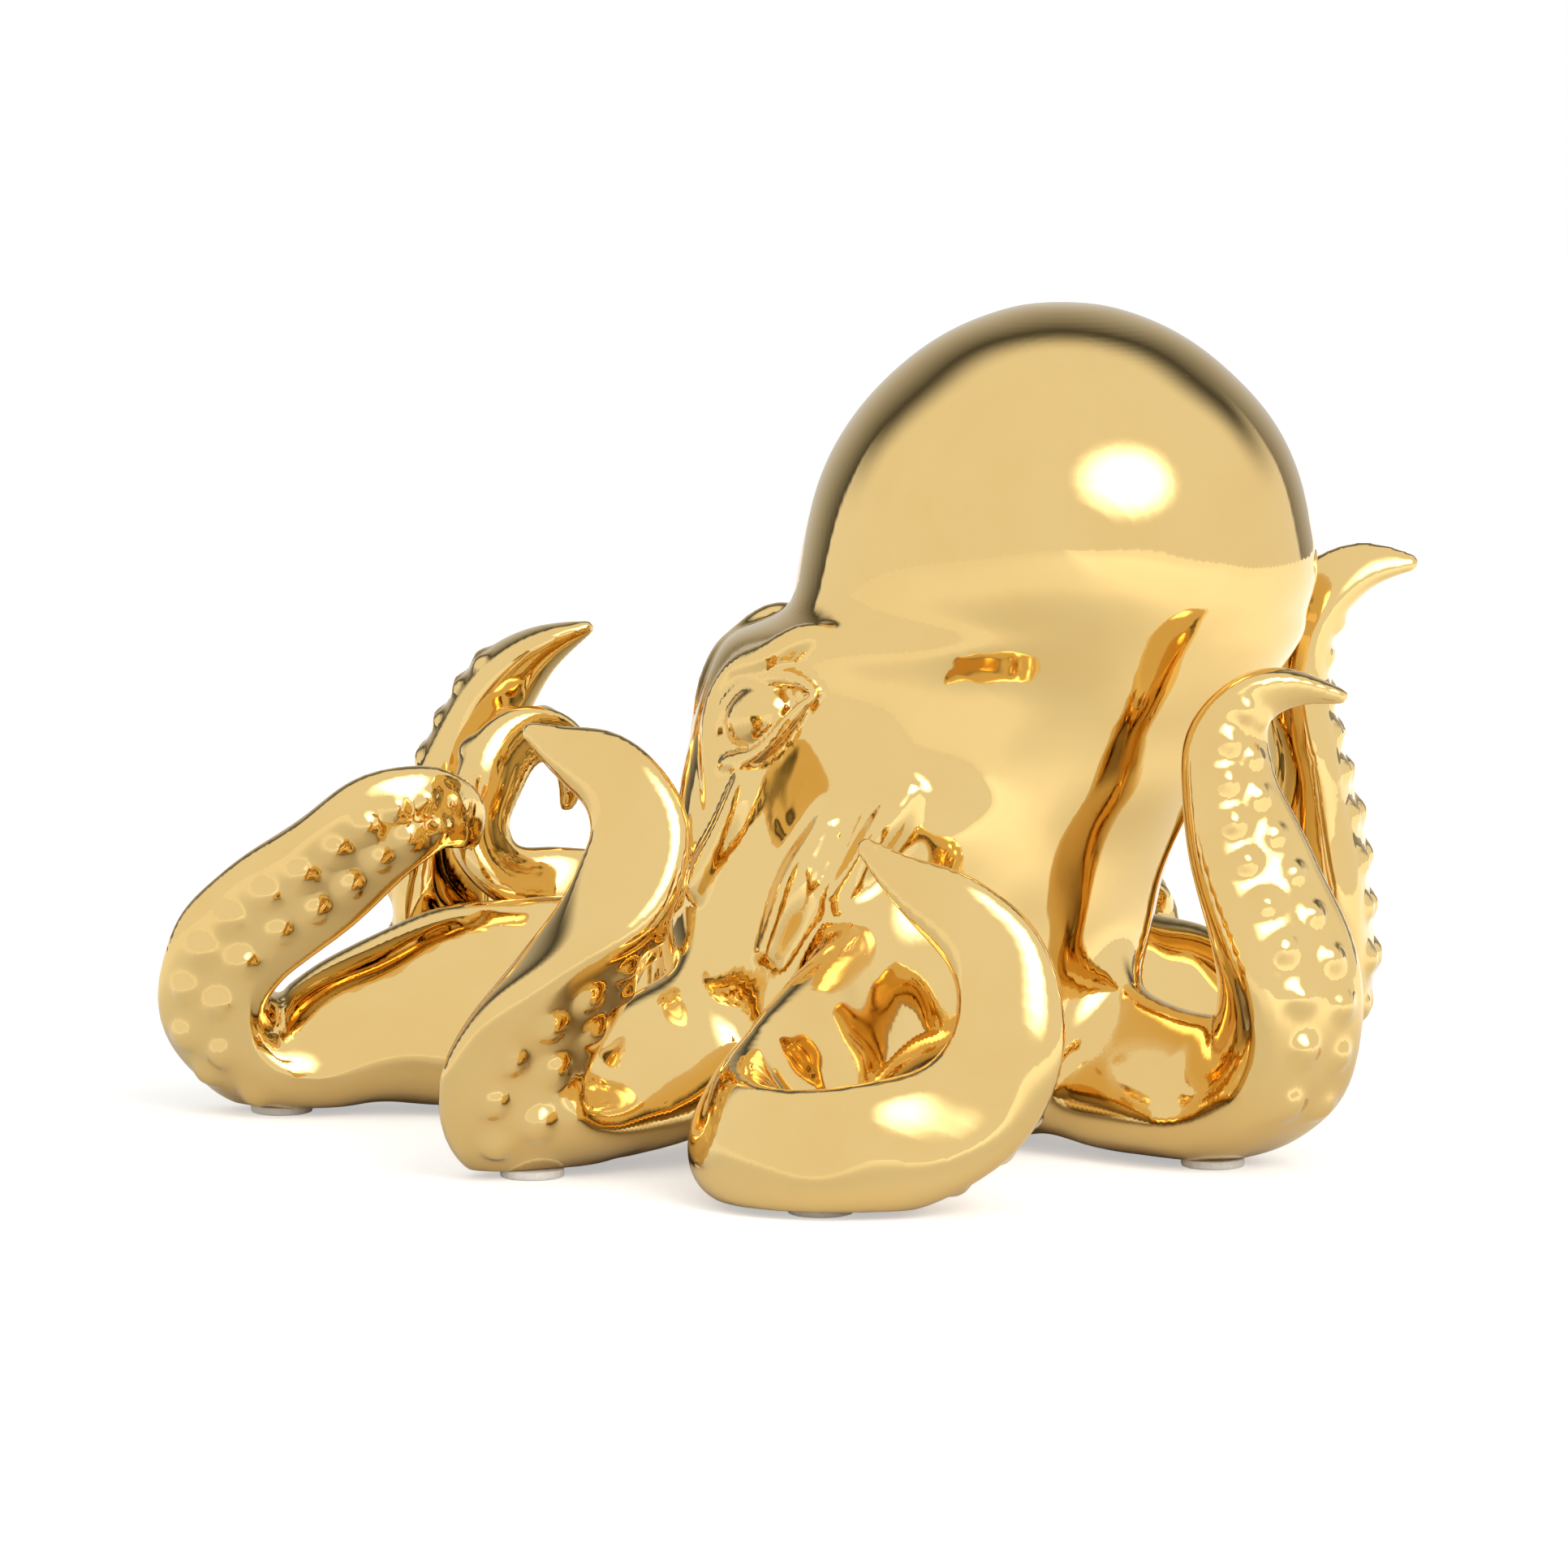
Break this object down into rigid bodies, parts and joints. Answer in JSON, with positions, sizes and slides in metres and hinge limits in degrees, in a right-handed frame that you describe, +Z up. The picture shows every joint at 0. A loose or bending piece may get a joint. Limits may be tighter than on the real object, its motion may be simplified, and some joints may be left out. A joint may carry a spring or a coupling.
{
  "type": "octopus figurine",
  "caption": "Octopus ornament with a domed body, a brow and eye on each side of its head, curled arms with suckers and felt pads under its feet.",
  "frame": {"origin": "centre of the figure's bounding box on the surface it stands on, at the underside of the felt pads", "axes": "+Z up, +X to the right and +Y away when the figure is seen from its front, with its head towards the left"},
  "size_m": [0.3062, 0.222, 0.1996],
  "materials": {
    "gold_glaze": "mirror gold plating over smooth glazed ceramic",
    "white_felt": "matte felt"
  },
  "bodies": {
    "root": {"body_shell": "gold_glaze", "arm_front": "gold_glaze", "arm_front_left": "gold_glaze", "arm_left": "gold_glaze", "arm_raised_left": "gold_glaze", "arm_rear_left": "gold_glaze", "arm_rear": "gold_glaze", "arm_rear_right": "gold_glaze", "arm_right": "gold_glaze", "felt_pad_front": "white_felt", "felt_pad_front_left": "white_felt", "felt_pad_left": "white_felt", "felt_pad_rear": "white_felt", "felt_pad_rear_left": "white_felt", "felt_pad_rear_right": "white_felt", "felt_pad_right": "white_felt"}
  },
  "joints": []
}
